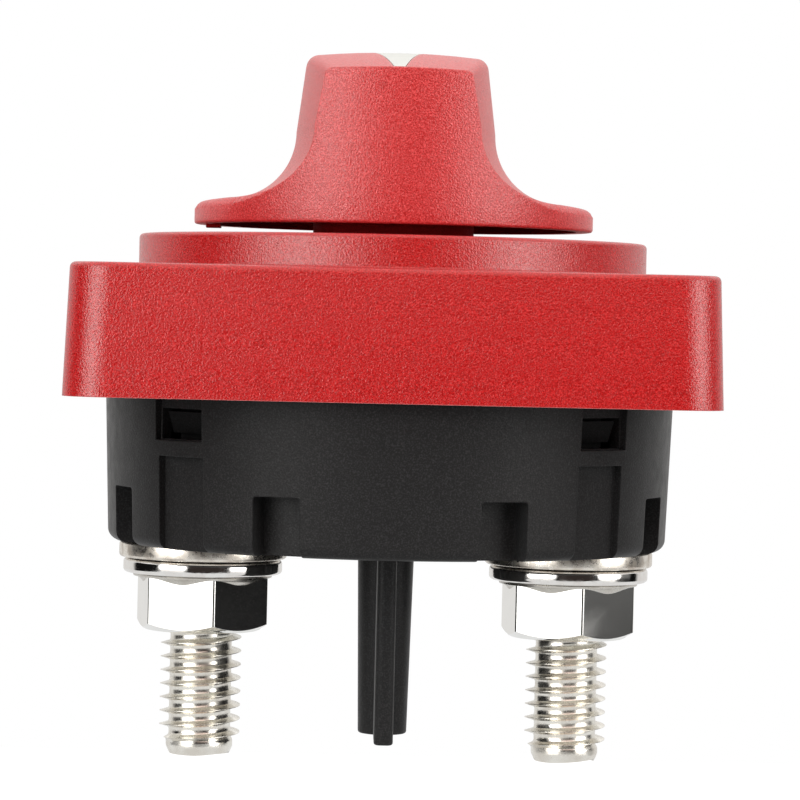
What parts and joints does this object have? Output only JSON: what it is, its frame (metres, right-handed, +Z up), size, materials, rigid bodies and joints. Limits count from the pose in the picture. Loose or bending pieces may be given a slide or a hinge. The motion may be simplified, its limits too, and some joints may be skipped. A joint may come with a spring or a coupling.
{
  "type": "boat battery switch",
  "caption": "Rotary battery isolator switch with a red bar knob on a square red cover, a round black rear housing and threaded terminal studs.",
  "frame": {"origin": "centre of the cover's underside, in the plane that rests on the panel, on the knob's axis", "axes": "+Z up through the knob; the two terminal studs stand along X; the pointer end of the knob bar faces -Y at OFF"},
  "size_m": [0.072, 0.072, 0.0823],
  "materials": {
    "red_plastic": "spark-textured red moulding with a soft sheen",
    "white_plastic": "smooth white moulding",
    "black_plastic": "finely textured black moulding",
    "grey_plastic": "plain dark grey moulding",
    "tinned_metal": "warm tin plating on copper, satin",
    "plated_steel": "bright polished plating",
    "spring_steel": "plain drawn steel",
    "copper": "bare copper, satin",
    "seal_rubber": "matte black rubber"
  },
  "bodies": {
    "switch_body": {"top_cover": "red_plastic", "rear_housing": "black_plastic", "contact_carrier": "black_plastic", "cover_gasket": "seal_rubber", "detent_spring_front": "spring_steel", "detent_spring_back": "spring_steel", "terminal_stud_left": "tinned_metal", "terminal_stud_right": "tinned_metal", "fixed_contact_left": "copper", "fixed_contact_right": "copper", "stud_seal_left": "seal_rubber", "stud_seal_right": "seal_rubber", "flat_washer_left": "plated_steel", "flat_washer_right": "plated_steel", "hex_nut_left": "plated_steel", "hex_nut_right": "plated_steel", "cover_screw_1": "spring_steel", "cover_screw_2": "spring_steel", "cover_screw_3": "spring_steel", "cover_screw_4": "spring_steel"},
    "turning_group": {"knob": "red_plastic", "pointer_inlay": "white_plastic", "knob_screw": "spring_steel", "spindle": "spring_steel", "spindle_seal": "seal_rubber", "rotor": "grey_plastic", "contact_spring": "spring_steel"},
    "bridge_group": {"contact_bridge": "copper"}
  },
  "joints": [
    {"name": "knob_turn", "type": "hinge", "parent": "switch_body", "child": "turning_group", "pos_m": [0, 0, 0], "axis": [0, 0, 1], "range_deg": [-90, 0], "deforming": ["detent_spring_front", "detent_spring_back"]},
    {"name": "contact_float", "type": "slide", "parent": "turning_group", "child": "bridge_group", "axis": [0, 0, 1], "range_m": [0, 0.0006], "stiffness_N_per_m": 400, "springref_m": -0.01, "deforming": ["contact_spring"]}
  ]
}
